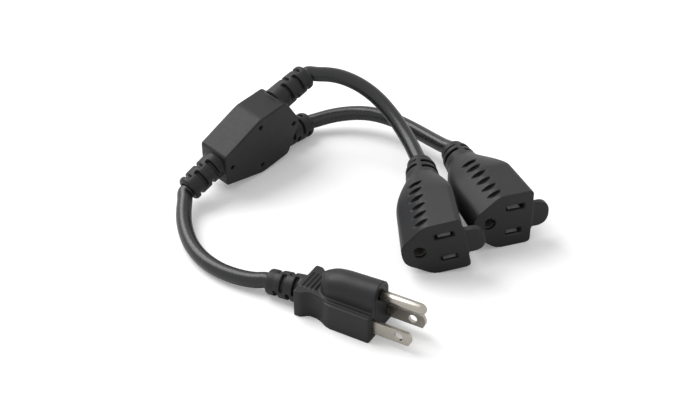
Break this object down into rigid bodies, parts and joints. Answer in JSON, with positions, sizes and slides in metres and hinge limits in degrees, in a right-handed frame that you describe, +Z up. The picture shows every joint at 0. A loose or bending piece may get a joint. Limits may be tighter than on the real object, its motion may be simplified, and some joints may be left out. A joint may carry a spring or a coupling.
{
  "type": "power cord splitter",
  "caption": "Short grounded power cord splitter: moulded plug with flat blades and a round ground pin, flat junction block, and two cords ending in moulded slotted connectors.",
  "frame": {"origin": "centre of the bounding box of the moulded pieces and their metal, without the cords, at the height of the surface they lie on", "axes": "+X to the right as pictured, from the junction block towards the connectors; +Y away from the viewer; +Z up"},
  "size_m": [0.1646, 0.1658, 0.0413],
  "materials": {
    "moulded_body": "black moulded PVC with a soft sheen",
    "cord_jacket": "black extruded PVC jacket, a little glossier than the mouldings",
    "inner_plastic": "dark grey hard plastic inserts",
    "blade_metal": "nickel plated, lightly brushed",
    "contact_metal": "bare spring brass",
    "splice_metal": "crimped sleeve",
    "line_insulation": "black lead insulation",
    "neutral_insulation": "white lead insulation",
    "ground_insulation": "green lead insulation"
  },
  "bodies": {
    "root": {"plug_body": "moulded_body", "junction_body": "moulded_body", "connector_a_body": "moulded_body", "connector_b_body": "moulded_body", "plug_bridge": "inner_plastic", "connector_a_carrier": "inner_plastic", "connector_b_carrier": "inner_plastic", "line_blade": "blade_metal", "neutral_blade": "blade_metal", "ground_pin": "blade_metal", "supply_cord": "cord_jacket", "outlet_cord_a": "cord_jacket", "outlet_cord_b": "cord_jacket", "line_splice": "splice_metal", "plug_line_lead": "line_insulation", "junction_supply_line_lead": "line_insulation", "junction_outlet_a_line_lead": "line_insulation", "junction_outlet_b_line_lead": "line_insulation", "connector_a_line_contact": "contact_metal", "connector_a_line_lead": "line_insulation", "connector_b_line_contact": "contact_metal", "connector_b_line_lead": "line_insulation", "neutral_splice": "splice_metal", "plug_neutral_lead": "neutral_insulation", "junction_supply_neutral_lead": "neutral_insulation", "junction_outlet_a_neutral_lead": "neutral_insulation", "junction_outlet_b_neutral_lead": "neutral_insulation", "connector_a_neutral_contact": "contact_metal", "connector_a_neutral_lead": "neutral_insulation", "connector_b_neutral_contact": "contact_metal", "connector_b_neutral_lead": "neutral_insulation", "ground_splice": "splice_metal", "plug_ground_lead": "ground_insulation", "junction_supply_ground_lead": "ground_insulation", "junction_outlet_a_ground_lead": "ground_insulation", "junction_outlet_b_ground_lead": "ground_insulation", "connector_a_ground_contact": "contact_metal", "connector_a_ground_lead": "ground_insulation", "connector_b_ground_contact": "contact_metal", "connector_b_ground_lead": "ground_insulation"}
  },
  "joints": []
}
